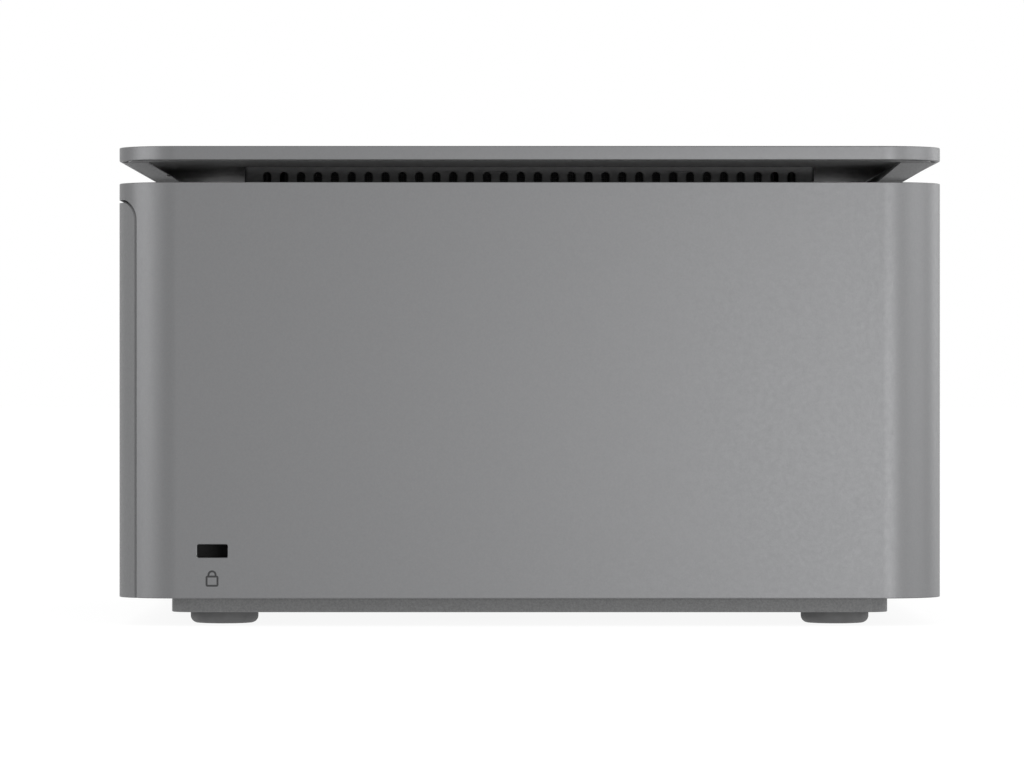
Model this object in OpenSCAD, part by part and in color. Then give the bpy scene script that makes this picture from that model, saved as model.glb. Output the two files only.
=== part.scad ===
// Compact desktop computer with a floating lid.
// A dark base pan on four round feet carries the boards, the cooler and the rear panel.
// The outer shell, its top deck and the lid lift straight up off the base as one cover.
// Millimetres. +Z is up, the front faces -Y, and the origin is on the table under the body's centre.

/* [Body] */
// Width of the body, left to right
body_w = 195; // [193:0.5:200]
// Depth of the body, front to back
body_d = 190; // [188:0.5:195]
// Height of the outer shell
shell_h = 95.5; // [95:0.5:105]
// Radius of the upright corners
corner_r = 14; // [12:0.5:15]
// Wall thickness of the shell
wall = 2; // [1.8:0.1:2.2]

/* [Base] */
// Height of the rubber feet
foot_h = 2.8; // [2:0.2:4]
// Diameter of the rubber feet
foot_d = 15.8; // [12:0.2:18]
// Height of the plinth that shows under the shell
plinth_h = 3.6; // [3:0.2:5]
// Inset of the plinth from the shell on every side
plinth_inset = 12; // [11.6:0.1:12.2]

/* [Lid] */
// Open gap between the shell and the lid
lid_gap = 5.1; // [4.6:0.1:6]
// Thickness of the lid's rim
lid_t = 3.2; // [3:0.1:4]
// Slope of the skirts under the lid, from the horizontal
skirt_slope = 30; // [29:1:31]
// Length of the air cage under the lid, front to back
cage_d = 134.6; // [130:0.2:136]
// Width of the air cage, left to right
cage_w = 111; // [104:1:114]
// Number of air slots in each side of the cage
cage_slots = 32; // [24:1:32]

/* [Rear panel] */
// Height of the shell's strip above the rear panel
rear_strip_h = 3.9; // [3:0.1:6]
// Number of air slots in each row of the rear panel
rear_slots = 34; // [20:2:34]

/* [Ports] */
// Width of the security lock slot
lock_w = 7; // [7:0.1:7.4]
// Height of the security lock slot
lock_h = 3; // [3:0.1:3.4]
// Radius of the headphone socket's bore
audio_r = 1.8; // [1.75:0.05:1.9]
// Radius of the power inlet's centre pin
dc_pin_r = 1.25; // [1:0.05:1.3]
// Travel of the power button
button_travel = 0.5; // [0.3:0.1:0.6]

/* [Cooling] */
// Side length of the processor fan
cpu_fan_size = 92; // [80:1:92]
// Depth of the processor fan
cpu_fan_depth = 24; // [20:1:25]
// Side length of the rear fan
rear_fan_size = 60; // [50:1:60]
// Number of fins on the processor cooler
fin_count = 31; // [15:2:31]

/* [Hidden] */
$fn = 64;
eps = 0.01;

// Heights of the main levels
shell_z = foot_h + plinth_h;
shell_top = shell_z + shell_h;
lid_z = shell_top + lid_gap;
total_h = lid_z + lid_t;
sheet = 1.2;
floor_top = shell_z + sheet;
deck_t = 2;
deck_z = shell_top - 7.9;
deck_top = deck_z + deck_t;
deck_screw_y = 66;

// Plan sizes inside the shell
inner_w = body_w - 2 * wall;
inner_d = body_d - 2 * wall;
inner_r = corner_r - wall;
deck_screw_x = inner_w / 2 - 5.5;
slip = 0.3;
plinth_w = body_w - 2 * plinth_inset;
plinth_d = body_d - 2 * plinth_inset;
plinth_r = 5;
front_y = -body_d / 2;
rear_y = body_d / 2;

// Feet and cover screws
foot_inset = 11.85;
foot_x = plinth_w / 2 - foot_inset;
foot_y = plinth_d / 2 - foot_inset;
foot_round = 1.7;
screw_x = inner_w / 2 - 5.2;
screw_y = 54;
screw_r = 1.5;
thread_slip = 0.05;
boss_h = 3;
bracket_z = shell_z + boss_h + 0.2;
bracket_t = 5.4;

// Rear opening of the shell and the panel that fills it
opening_half_w = body_w / 2 - 3.75;
opening_top = shell_top - rear_strip_h;
opening_r = 4.5;
seam = 0.55;
panel_flange = 9;
panel_flange_t = 1.4;
slot_rows_z = [38, 65];
slot_row_h = 21;

// Lid, skirts and cage
lid_skin = 1.4;
lid_rim = 2;
skirt_outer = body_d / 2 - 0.6;
skirt_inner = skirt_outer - 5.9;
skirt_half_w = body_w / 2 - 13.5;
skirt_h = lid_z - deck_top;
skirt_run = skirt_h / tan(skirt_slope);
skirt_notch_z = lid_z - 3.25;
skirt_notch_h = 0.35;
skirt_notch_d = 1.4;
skirt_foot_slope = 36;
skirt_lip = 2.6;
skirt_lip_h = 4.7;
cage_wall = 2;
slot_pitch = 4;
slot_w = 1.9;
slot_z = deck_top + 1.5;
slot_top = lid_z - 1.3;
intake_d = 86;
post_inset = 5;
post_d = 7;

// Boards
board_t = 1.6;
board_z = shell_z + 8.2;
board_top = board_z + board_t;
board_w = 168;
board_front = -71;
board_rear = 90;
front_board_d = 18.4;
front_board_y = front_y + 2.6;
standoff_af = 5.5;
board_screws_at = [[-78, -64], [78, -64], [-78, 74], [78, 74]];
front_screws_at = [[-66, -77.5], [50, -77.5]];
base_screws_at = [[-60, 88], [0, 88], [60, 88], [-90, 72.8]];
front_z = board_top + 7.8;

// Ports on the rear panel: centre along X, then width and height of the socket
port_face = rear_y - 0.5;
dc_x = -71.2;
ethernet_x = -54.5;
usb_stack_x = [-33.5, -13.5];
hdmi_x = [7, 27.5];
dp_x = [49.3, 71.8];
tongue_t = 1.8;

// Ports on the front of the shell
audio_x = -76;
usb_c_x = [-60, -44];
front_usb_x = -24;
button_x = 72;
button_d = 12;
led_x = 58;
front_port_face = front_y + wall + 0.8;

// Security lock slot in the left side
lock_y = 72.8;
lock_z = shell_z + 10.9;

// Processor and cooler
cpu_y = 0;
plate_z = board_top + 6.4;
plate_t = 7;
fins_z = board_top + 18;
fins_h = 32;
fin_t = 0.5;
fin_pitch = 3;
pipe_r = 3;
pipe_low = plate_z + 3.4;
pipe_high = fins_z + fins_h / 2;
pipe_bend = (pipe_high - pipe_low) / 2;
pipe_rows = [-15, -5, 5, 15];
pipe_y = fin_pitch * (fin_count - 1) / 2 + 2;
cooler_screw_x = 32;
cooler_screw_y = 37;
backplate_t = 1.2;
cpu_fan_z = fins_z + fins_h;
rear_fan_x = 34;
rear_fan_z = 62;
rear_fan_depth = 15;
hub_shaft_r = 1.5;
shaft_slip = 0.06;
blade_pitch = 48;
blade_t = 1.3;

// ---------- shared shapes ----------

module rounded_rect(w, d, r) {
    square([w - 2 * r, d], center = true);
    square([w, d - 2 * r], center = true);
    for (x = [-1, 1], y = [-1, 1])
        translate([x * (w / 2 - r), y * (d / 2 - r)]) circle(r);
}

module rounded_plate(w, d, h, r) {
    linear_extrude(h) rounded_rect(w, d, r);
}

// A block standing on z, centred in X and Y on a point
module block(x, y, z, w, d, h) {
    translate([x - w / 2, y - d / 2, z]) cube([w, d, h]);
}

// A vertical slot with round ends, drawn in a plane
module upright_slot(w, low, high) {
    translate([-w / 2, low + w / 2]) square([w, high - low - w]);
    translate([0, low + w / 2]) circle(w / 2, $fn = 24);
    translate([0, high - w / 2]) circle(w / 2, $fn = 24);
}

module slot_row(count, pitch, w, low, high) {
    for (i = [0 : count - 1])
        translate([(i - (count - 1) / 2) * pitch, 0]) upright_slot(w, low, high);
}

// Turns a drawing in X and Z into a wall cut along Y, from y to y + depth
module cut_along_y(y, depth) {
    translate([0, y + depth, 0]) rotate([90, 0, 0]) linear_extrude(depth) children();
}

// Turns a drawing in Y and Z into a wall cut along X, from x to x + depth
module cut_along_x(x, depth) {
    translate([x, 0, 0]) rotate([90, 0, 90]) linear_extrude(depth) children();
}

module at_each(points) {
    for (p = points) translate([p[0], p[1], 0]) children();
}

module at_corners(x, y) {
    at_each([for (i = [-1, 1], j = [-1, 1]) [i * x, j * y]]) children();
}

// A pan-head screw with a cross recess, pointing down, its head's seat at z = 0
module pan_screw(shank_r, length, head_r = 2.7, head_h = 1.8) {
    difference() {
        union() {
            cylinder(r = head_r, h = head_h);
            translate([0, 0, -length]) cylinder(r = shank_r, h = length + eps);
        }
        for (a = [0, 90])
            rotate(a) translate([-head_r * 0.55, -0.35, head_h - 0.8]) cube([head_r * 1.1, 0.7, 1]);
    }
}

// A countersunk screw, pointing up, its flat head's face at z = 0
module flat_screw(shank_r, length, head_r, head_h) {
    difference() {
        union() {
            cylinder(r1 = head_r, r2 = shank_r, h = head_h);
            cylinder(r = shank_r, h = length);
        }
        for (a = [0, 90])
            rotate(a) translate([-head_r * 0.55, -0.35, -1]) cube([head_r * 1.1, 0.7, 1.6]);
    }
}

// A smooth path through the given points, for cables
function blend_point(a, b, c, d, t) =
    0.5 * ((2 * b) + (c - a) * t + (2 * a - 5 * b + 4 * c - d) * t * t + (3 * b - a - 3 * c + d) * t * t * t);
function smooth_path(p, steps) = [
    for (i = [0 : len(p) - 2], s = [0 : steps - 1])
        blend_point(p[max(i - 1, 0)], p[i], p[i + 1], p[min(i + 2, len(p) - 1)], s / steps),
    p[len(p) - 1]
];
function unit(v) = v / norm(v);
function heading(p, i) = unit(p[min(i + 1, len(p) - 1)] - p[max(i - 1, 0)]);

// A round cable along a path of points
module cable(points, r, steps = 5, sides = 8) {
    path = smooth_path(points, steps);
    guide = [0.21, 0.34, 0.92];
    rings = [
        for (i = [0 : len(path) - 1])
            let (t = heading(path, i), u = unit(cross(guide, t)), v = cross(t, u))
            for (k = [0 : sides - 1])
                path[i] + r * (cos(360 * k / sides) * u + sin(360 * k / sides) * v)
    ];
    last = (len(path) - 1) * sides;
    sides_faces = [
        for (i = [0 : len(path) - 2], k = [0 : sides - 1])
            let (a = i * sides + k, b = i * sides + (k + 1) % sides)
            [a, a + sides, b + sides, b]
    ];
    caps = [[for (k = [0 : sides - 1]) k], [for (k = [sides - 1 : -1 : 0]) last + k]];
    polyhedron(rings, concat(sides_faces, caps), convexity = 4);
}

// ---------- cover: shell, deck and lid ----------

module rear_outline(inset) {
    half = opening_half_w - inset;
    top = opening_top - inset;
    r = opening_r - inset;
    translate([-half, 0]) square([2 * half, top - r]);
    translate([-half + r, 0]) square([2 * half - 2 * r, top]);
    for (x = [-1, 1]) translate([x * (half - r), top - r]) circle(r);
}

module front_port_cuts() {
    translate([audio_x, front_z]) circle(r = 3.1);
    for (x = usb_c_x) translate([x, front_z]) rounded_rect(9.8, 4, 2 - eps);
    translate([front_usb_x, front_z]) rounded_rect(13.6, 6, 0.6);
    translate([button_x, front_z]) circle(d = button_d + 0.6);
    translate([led_x, front_z]) circle(d = 1.6);
}

module outer_shell() {
    color("darkgray") {
        difference() {
            translate([0, 0, shell_z]) rounded_plate(body_w, body_d, shell_h, corner_r);
            translate([0, 0, shell_z - 1]) rounded_plate(inner_w, inner_d, shell_h + 2, inner_r);
            cut_along_y(inner_d / 2 - inner_r, corner_r + 1) rear_outline(0);
            cut_along_y(front_y - 1, wall + 2) front_port_cuts();
            cut_along_x(-body_w / 2 - 1, wall + 2)
                translate([lock_y, lock_z]) rounded_rect(lock_w, lock_h, 0.4);
        }
        // Brackets that take the cover screws
        for (x = [-1, 1], y = [-1, 1])
            difference() {
                block(x * (inner_w / 2 - 4.5), y * screw_y, bracket_z, 9.02, 12, bracket_t);
                translate([x * screw_x, y * screw_y, bracket_z - 1])
                    cylinder(r = screw_r + thread_slip, h = bracket_t + 2);
            }
        // Ledges that carry the top deck
        for (x = [-1, 1], y = [-1, 1])
            difference() {
                block(x * (inner_w / 2 - 5), y * deck_screw_y, deck_z - 3, 10.02, 12, 3);
                translate([x * deck_screw_x, y * deck_screw_y, deck_z - 4])
                    cylinder(r = 1.25 + thread_slip, h = 5);
            }
    }
}

module top_deck() {
    color("dimgray") difference() {
        union() {
            translate([0, 0, deck_z])
                rounded_plate(inner_w - 2 * slip, inner_d - 2 * slip, deck_t, inner_r - slip);
            difference() {
                translate([0, 0, deck_top - eps]) rounded_plate(cage_w, cage_d, skirt_h + eps, 0.8);
                translate([0, 0, deck_top])
                    rounded_plate(cage_w - 2 * cage_wall, cage_d - 2 * cage_wall, skirt_h + 1, 0.4);
                for (x = [-cage_w / 2 - 1, cage_w / 2 - cage_wall - 0.1])
                    cut_along_x(x, cage_wall + 1.1)
                        slot_row(cage_slots, slot_pitch, slot_w, slot_z, slot_top);
            }
            // Posts under the lid screws
            at_corners(cage_w / 2 - post_inset, cage_d / 2 - post_inset)
                translate([0, 0, deck_top - eps]) cylinder(d = post_d, h = skirt_h + eps);
        }
        translate([0, 0, deck_z - 1]) cylinder(d = intake_d, h = deck_t + 2, $fn = 96);
        at_corners(deck_screw_x, deck_screw_y)
            translate([0, 0, deck_z - 1]) cylinder(r = 1.7, h = deck_t + 2);
        at_corners(cage_w / 2 - post_inset, cage_d / 2 - post_inset)
            translate([0, 0, deck_z - 1]) cylinder(r = 1.6, h = skirt_h + deck_t + 2);
    }
}

module deck_screws() {
    color("silver") at_corners(deck_screw_x, deck_screw_y) translate([0, 0, deck_top]) pan_screw(1.25, 5);
}

// The lid's top: a thin skin with a turned-down rim
module lid_plate() {
    color("gray") difference() {
        translate([0, 0, lid_z]) rounded_plate(body_w, body_d, lid_t, corner_r);
        translate([0, 0, lid_z - 1])
            rounded_plate(body_w - 2 * lid_rim, body_d - 2 * lid_rim,
                          lid_t - lid_skin + 1, corner_r - lid_rim);
    }
}

// Side outline of the sloping skirt under the front edge of the lid, drawn in Y and Z.
// It grows thicker towards its top.
module front_skirt() {
    lip_foot_y = -skirt_inner + skirt_lip_h / tan(skirt_slope);
    polygon([[-skirt_outer, lid_z], [-skirt_outer + skirt_run, deck_top],
             [-skirt_inner + skirt_run, deck_top], [lip_foot_y, lid_z - skirt_lip_h],
             [-skirt_inner + skirt_lip, lid_z], [-skirt_inner + skirt_lip, lid_z + 0.2],
             [-skirt_outer + 2, lid_z + 0.2], [-skirt_outer + 2, lid_z]]);
}

// The rear skirt has a parting groove in its inner face, and is thinner below it
module rear_skirt() {
    groove_y = skirt_inner - (lid_z - skirt_notch_z) / tan(skirt_slope);
    above_y = groove_y + skirt_notch_h / tan(skirt_slope);
    foot_y = groove_y - (skirt_notch_z - deck_top) / tan(skirt_foot_slope);
    polygon([[skirt_outer, lid_z], [skirt_outer - 2, lid_z], [skirt_outer - 2, lid_z + 0.2],
             [skirt_inner, lid_z + 0.2], [skirt_inner, lid_z], [above_y, skirt_notch_z + skirt_notch_h],
             [groove_y + skirt_notch_d, skirt_notch_z + 0.1], [groove_y, skirt_notch_z],
             [foot_y, deck_top], [skirt_outer - skirt_run, deck_top]]);
}

module lid_tray() {
    color("gray") {
        cut_along_x(-skirt_half_w, 2 * skirt_half_w) {
            front_skirt();
            rear_skirt();
        }
        difference() {
            translate([0, 0, lid_z])
                rounded_plate(body_w - 2 * lid_rim - 0.2, body_d - 2 * lid_rim - 0.2,
                              lid_t - lid_skin, corner_r - lid_rim - 0.1);
            at_corners(cage_w / 2 - post_inset, cage_d / 2 - post_inset)
                translate([0, 0, lid_z - 1]) cylinder(r = 1.25 + thread_slip, h = 2.4);
        }
    }
}

module lid_screws() {
    color("silver") at_corners(cage_w / 2 - post_inset, cage_d / 2 - post_inset)
        translate([0, 0, deck_z]) rotate([180, 0, 0]) pan_screw(1.25, lid_z - deck_z + 1, 2.7, 1.6);
}

// A screen in a frame over the fan's intake, and two upright strips of screen behind the cage's slots
module dust_filter() {
    side = intake_d + 8;
    strip_t = 0.8;
    strip_x = cage_w / 2 - cage_wall - 0.2 - strip_t / 2;
    strip_d = cage_d - 2 * post_inset - post_d - 1.6;
    color("black") {
        difference() {
            translate([0, 0, deck_top]) rounded_plate(side, side, 1.6, 3);
            for (i = [-6 : 5], j = [-6 : 5])
                translate([i * 7.1 + 0.5, j * 7.1 + 0.5, deck_top - 1]) cube([6.1, 6.1, 4]);
        }
        for (x = [-1, 1]) block(x * strip_x, 0, deck_top, strip_t, strip_d, skirt_h - 0.4);
    }
}

// ---------- power button ----------

flange_t = 0.8;
stem_r = 2;
guide_y = front_y + 8;
stem_end = front_y + 11.6;

module power_button() {
    color("gray") translate([button_x, 0, front_z]) rotate([-90, 0, 0]) {
        translate([0, 0, front_y]) cylinder(d = button_d, h = wall + 0.1 + flange_t);
        translate([0, 0, front_y + wall + 0.1]) cylinder(d = button_d + 2.4, h = flange_t);
        translate([0, 0, front_y + 1]) cylinder(r = stem_r, h = stem_end - front_y - 1);
    }
}

module button_bracket() {
    bracket_w = 22;
    color("black") difference() {
        union() {
            block(button_x, guide_y + 0.75, front_z - 6.5, bracket_w, 1.5, 13);
            for (s = [-1, 1])
                block(button_x + s * (bracket_w / 2 - 1), (front_y + wall + guide_y) / 2, front_z - 6.5,
                      2, guide_y - front_y - wall, 13);
        }
        cut_along_y(guide_y - 1, 4) translate([button_x, front_z]) circle(r = stem_r + shaft_slip);
    }
}

// A wave of rings that stands for the coil around the stem
module button_spring() {
    low = front_y + wall + 0.1 + flange_t + button_travel;
    turns = 4;
    gap = (guide_y - low) / turns;
    color("silver") translate([button_x, 0, front_z]) rotate([-90, 0, 0])
        for (i = [0 : turns - 1])
            translate([0, 0, low + (i + 0.5) * gap])
                rotate_extrude() translate([2.9, 0]) circle(0.3, $fn = 16);
}

module light_pipe() {
    color("white") translate([led_x, 0, front_z]) rotate([-90, 0, 0]) {
        translate([0, 0, front_y]) cylinder(d = 1.5, h = 4);
        translate([0, 0, front_y + wall]) cylinder(d = 3, h = 2);
    }
}

// ---------- base ----------

module bottom_vents() {
    for (x = [-1, 1]) translate([x * 34, 0]) slot_row(12, 4, 2, -30, 30);
}

module base_pan() {
    color("dimgray") difference() {
        union() {
            translate([0, 0, shell_z])
                rounded_plate(inner_w - 2 * slip, inner_d - 2 * slip, sheet, inner_r - slip);
            translate([0, 0, foot_h]) rounded_plate(plinth_w, plinth_d, plinth_h + eps, plinth_r);
            at_corners(screw_x, screw_y) translate([0, 0, shell_z]) cylinder(r = 4.4, h = boss_h);
        }
        translate([0, 0, foot_h + sheet])
            rounded_plate(plinth_w - 2 * sheet, plinth_d - 2 * sheet, plinth_h + sheet, plinth_r - sheet);
        translate([0, 0, foot_h - 1]) linear_extrude(sheet + 2) bottom_vents();
        at_corners(screw_x, screw_y) {
            translate([0, 0, shell_z - 1]) cylinder(r = screw_r + 0.1, h = boss_h + 2);
            translate([0, 0, shell_z - 1]) cylinder(r = 2.9, h = 2.8);
        }
        at_each(base_screws_at) {
            translate([0, 0, shell_z - 1]) cylinder(r = 1.6, h = sheet + 2);
            translate([0, 0, shell_z - eps]) cylinder(r1 = 2.6, r2 = 1.6, h = 1);
        }
    }
}

module rubber_feet() {
    r = foot_d / 2;
    color("black") at_corners(foot_x, foot_y) rotate_extrude() {
        translate([0, foot_round]) square([r, foot_h - foot_round]);
        square([r - foot_round, foot_h]);
        intersection() {
            translate([r - foot_round, foot_round]) circle(foot_round);
            square([r, foot_h]);
        }
    }
}

// Captive screws that hold the cover down, driven from below
module cover_screws() {
    color("silver") at_corners(screw_x, screw_y)
        translate([0, 0, shell_z + 1.8]) rotate([180, 0, 0]) pan_screw(screw_r, 6.2, 2.75, 1.6);
}

module rear_port_cuts() {
    slack = 0.5;
    translate([dc_x, board_top + 6]) circle(r = 4.6);
    translate([ethernet_x, board_top + 7]) rounded_rect(16 + slack, 13.6 + slack, 0.6);
    for (x = usb_stack_x) translate([x, board_top + 7.8]) rounded_rect(14.4 + slack, 15.6 + slack, 0.6);
    for (x = hdmi_x) translate([x, board_top + 4]) rounded_rect(15.4 + slack, 6 + slack, 0.8);
    for (x = dp_x) translate([x, board_top + 4]) rounded_rect(17.2 + slack, 6.2 + slack, 0.8);
}

module rear_panel() {
    color("dimgray") difference() {
        union() {
            intersection() {
                difference() {
                    translate([0, 0, shell_z]) rounded_plate(body_w, body_d, opening_top - shell_z, corner_r);
                    translate([0, 0, shell_z - 1]) rounded_plate(inner_w, inner_d, shell_h, inner_r);
                }
                cut_along_y(inner_d / 2 - inner_r, corner_r + 1) rear_outline(seam);
            }
            block(0, inner_d / 2 - panel_flange / 2 + 0.5, floor_top, 150, panel_flange + 1, panel_flange_t);
        }
        cut_along_y(inner_d / 2 - 1, wall + 2) rear_port_cuts();
        for (z = slot_rows_z)
            cut_along_y(inner_d / 2 - 1, wall + 2)
                slot_row(rear_slots, slot_pitch, slot_w + 0.2, z, z + slot_row_h);
        at_each(base_screws_at) translate([0, 0, floor_top - 1]) cylinder(r = 1.5 + thread_slip, h = 4);
    }
}

// Countersunk screws from below that hold the rear panel and the lock bracket to the base
module base_screws() {
    color("silver") at_each(base_screws_at)
        translate([0, 0, shell_z + 0.1]) flat_screw(1.5, sheet + panel_flange_t - 0.1, 2.4, 0.9);
}

// A steel angle behind the lock slot, with a closed pocket in which the lock's head turns
module lock_bracket() {
    outer = -inner_w / 2 + slip;
    pocket_d = 5.2;
    color("silver") difference() {
        union() {
            translate([outer, lock_y - 9, floor_top]) cube([1.5, 18, 16]);
            translate([outer, lock_y - 9, floor_top]) cube([9, 18, panel_flange_t]);
            translate([outer, lock_y - 5, lock_z - 5]) cube([pocket_d + 2.5, 10, 10]);
        }
        cut_along_x(outer - 1, 4) translate([lock_y, lock_z]) rounded_rect(lock_w + 0.2, lock_h + 0.2, 0.4);
        translate([outer + 1.5, lock_y - 4.1, lock_z - 4.1]) cube([pocket_d, 8.2, 8.2]);
        at_each(base_screws_at) translate([0, 0, floor_top - 1]) cylinder(r = 1.5 + thread_slip, h = 4);
    }
}

// ---------- boards ----------

module motherboard() {
    color("darkgreen") difference() {
        translate([-board_w / 2, board_front, board_z]) cube([board_w, board_rear - board_front, board_t]);
        at_each(board_screws_at) translate([0, 0, board_z - 1]) cylinder(r = 1.7, h = board_t + 2);
        at_corners(cooler_screw_x, cooler_screw_y)
            translate([0, 0, board_z - 1]) cylinder(r = 1.7, h = board_t + 2);
        // Clearance at the rear corners for the rounded shell
        for (x = [-1, 1]) block(x * board_w / 2, board_rear, board_z - 1, 16, 12, board_t + 2);
    }
}

module front_io_board() {
    color("darkgreen") difference() {
        translate([-board_w / 2, front_board_y, board_z]) cube([board_w, front_board_d, board_t]);
        at_each(front_screws_at) translate([0, 0, board_z - 1]) cylinder(r = 1.7, h = board_t + 2);
    }
}

module board_standoffs() {
    color("gold") {
        at_each(board_screws_at) translate([0, 0, foot_h + sheet])
            difference() {
                cylinder(d = standoff_af / cos(30), h = board_z - foot_h - sheet, $fn = 6);
                translate([0, 0, 3]) cylinder(r = 1.25, h = 20);
            }
        at_each(front_screws_at) translate([0, 0, foot_h + sheet])
            difference() {
                cylinder(d = standoff_af / cos(30), h = board_z - foot_h - sheet, $fn = 6);
                translate([0, 0, 3]) cylinder(r = 1.25, h = 20);
            }
    }
}

module board_screws() {
    color("silver") at_each(concat(board_screws_at, front_screws_at))
        translate([0, 0, board_top]) pan_screw(1.25, 5);
}

// Flat flexible cable that arches over the gap between the two boards
module front_io_ribbon() {
    reach = 7;
    mid = (front_board_y + front_board_d + board_front) / 2;
    color("white") translate([0, mid, board_top + 1.6]) rotate([90, 0, 90]) linear_extrude(18, center = true)
        difference() {
            circle(r = reach);
            circle(r = reach - 0.4);
            translate([-reach - 1, -2 * reach]) square([2 * reach + 2, 2 * reach]);
        }
    color("ivory") for (s = [-1, 1]) block(0, mid + s * (reach - 0.2), board_top, 22, 4, 1.6);
}

// ---------- processor and cooler ----------

module cpu_socket() {
    color("black") difference() {
        block(0, cpu_y, board_top, 46, 46, 2.4);
        block(0, cpu_y, board_top + 1, 38, 38, 3);
    }
    color("silver") difference() {
        block(0, cpu_y, board_top + 2.4, 50, 46, 1);
        block(0, cpu_y, board_top + 2, 31, 31, 3);
    }
}

module cpu_package() {
    color("green") block(0, cpu_y, board_top + 1, 37.5, 37.5, 1.3);
    color("silver") block(0, cpu_y, board_top + 2.3, 30, 30, 4.1);
}

// One heat pipe: along the plate, round a bend outside the fins and back through them
module heat_pipe(x) {
    start = 22;
    translate([x, -start, pipe_low]) rotate([-90, 0, 0]) cylinder(r = pipe_r, h = start + pipe_y);
    translate([x, -pipe_y, pipe_high]) rotate([-90, 0, 0]) cylinder(r = pipe_r, h = 2 * pipe_y);
    translate([x, pipe_y, (pipe_low + pipe_high) / 2]) rotate([0, -90, 0])
        rotate_extrude(angle = 180) translate([pipe_bend, 0]) circle(pipe_r);
}

module cold_plate() {
    color("peru") difference() {
        block(0, cpu_y, plate_z, 44, 44, plate_t);
        for (x = pipe_rows)
            translate([x, -30, pipe_low]) rotate([-90, 0, 0]) cylinder(r = pipe_r + thread_slip, h = 60);
    }
    // Spring arms to the four cooler screws
    color("silver") for (x = [-1, 1])
        difference() {
            translate([x * 21, cpu_y - 42, plate_z]) mirror([x < 0 ? 1 : 0, 0, 0]) cube([16, 84, 1.2]);
            for (y = [-1, 1])
                translate([x * cooler_screw_x, cpu_y + y * cooler_screw_y, plate_z - 2])
                    cylinder(r = 1.8, h = 4);
        }
}

module heat_pipes() {
    color("peru") for (turn = [0, 180]) rotate([0, 0, turn])
        for (i = [0, 2]) heat_pipe(pipe_rows[i]);
}

module fin_stack() {
    color("lightgray") difference() {
        for (i = [0 : fin_count - 1])
            block(0, cpu_y + (i - (fin_count - 1) / 2) * fin_pitch, fins_z, 90, fin_t, fins_h);
        for (x = pipe_rows)
            translate([x, -100, pipe_high]) rotate([-90, 0, 0]) cylinder(r = pipe_r + thread_slip, h = 200);
    }
}

// Steel plate under the board that the cooler screws pull against
module cpu_backplate() {
    color("silver") difference() {
        block(0, cpu_y, board_z - backplate_t, 74, 84, backplate_t);
        block(0, cpu_y, board_z - 3, 34, 34, 6);
        at_corners(cooler_screw_x, cooler_screw_y)
            translate([0, 0, board_z - 3]) cylinder(r = 1.5 + thread_slip, h = 6);
    }
}

module cooler_screws() {
    seat = plate_z + 1.2;
    color("silver") at_corners(cooler_screw_x, cooler_screw_y)
        translate([0, 0, seat]) pan_screw(1.5, seat - board_z + backplate_t, 3, 2);
}

// ---------- fans ----------

module fan_frame(side, depth, hole_pitch) {
    bore = side - 4;
    hub = side * 0.4;
    difference() {
        union() {
            difference() {
                rounded_plate(side, side, depth, 4);
                translate([0, 0, -1]) cylinder(d = bore, h = depth + 2, $fn = 96);
            }
            cylinder(d = hub, h = 2.4);
            for (x = [-1, 1]) {
                block(x * (hub + bore) / 4, 0, 0, (bore - hub) / 2 + 2, 3, 2.4);
                block(0, x * (hub + bore) / 4, 0, 3, (bore - hub) / 2 + 2, 2.4);
            }
        }
        at_corners(hole_pitch / 2, hole_pitch / 2) translate([0, 0, -1]) cylinder(r = 2.15, h = depth + 2);
        translate([0, 0, 0.8]) cylinder(r = hub_shaft_r + shaft_slip, h = depth);
    }
}

module fan_rotor(side, depth, blades) {
    hub_r = side * 0.2;
    tip = side / 2 - 3;
    low = 3.2;
    blade_h = depth - low - 1.4;
    chord = (blade_h - blade_t * cos(blade_pitch)) / sin(blade_pitch);
    half_w = (chord * cos(blade_pitch) + blade_t * sin(blade_pitch)) / 2;
    root_x = sqrt(hub_r * hub_r - half_w * half_w) - 0.3;
    tip_x = sqrt(tip * tip - half_w * half_w);
    difference() {
        translate([0, 0, low]) cylinder(r = hub_r, h = blade_h);
        translate([0, 0, low - 1]) cylinder(r = hub_r - 3.4, h = blade_h - 0.6);
    }
    translate([0, 0, 1]) cylinder(r = hub_shaft_r, h = blade_h + low - 1.2);
    for (i = [0 : blades - 1]) rotate(i * 360 / blades)
        translate([(root_x + tip_x) / 2, 0, low + blade_h / 2]) rotate([blade_pitch, 0, 0])
            cube([tip_x - root_x, chord, blade_t], center = true);
}

module place_cpu_fan() {
    translate([0, cpu_y, cpu_fan_z]) children();
}

module place_rear_fan() {
    translate([rear_fan_x, inner_d / 2 - 0.3, rear_fan_z]) rotate([90, 0, 0]) children();
}

module cpu_fan_frame() {
    color("black") place_cpu_fan() fan_frame(cpu_fan_size, cpu_fan_depth, cpu_fan_size - 9.5);
}

module cpu_fan_rotor() {
    color("black") place_cpu_fan() fan_rotor(cpu_fan_size, cpu_fan_depth, 9);
}

module cpu_fan_screws() {
    reach = cpu_fan_size / 2 - 4.75;
    color("silver") place_cpu_fan() at_corners(reach, reach)
        translate([0, 0, cpu_fan_depth]) pan_screw(1.6, cpu_fan_depth - 1, 3.2, 1.5);
}

module rear_fan_frame() {
    color("black") place_rear_fan() fan_frame(rear_fan_size, rear_fan_depth, rear_fan_size - 10);
}

module rear_fan_rotor() {
    color("black") place_rear_fan() fan_rotor(rear_fan_size, rear_fan_depth, 7);
}

module rear_fan_screws() {
    reach = rear_fan_size / 2 - 5;
    color("silver") place_rear_fan() at_corners(reach, reach)
        translate([0, 0, rear_fan_depth]) pan_screw(1.6, rear_fan_depth - 1, 3, 1.5);
}

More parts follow.
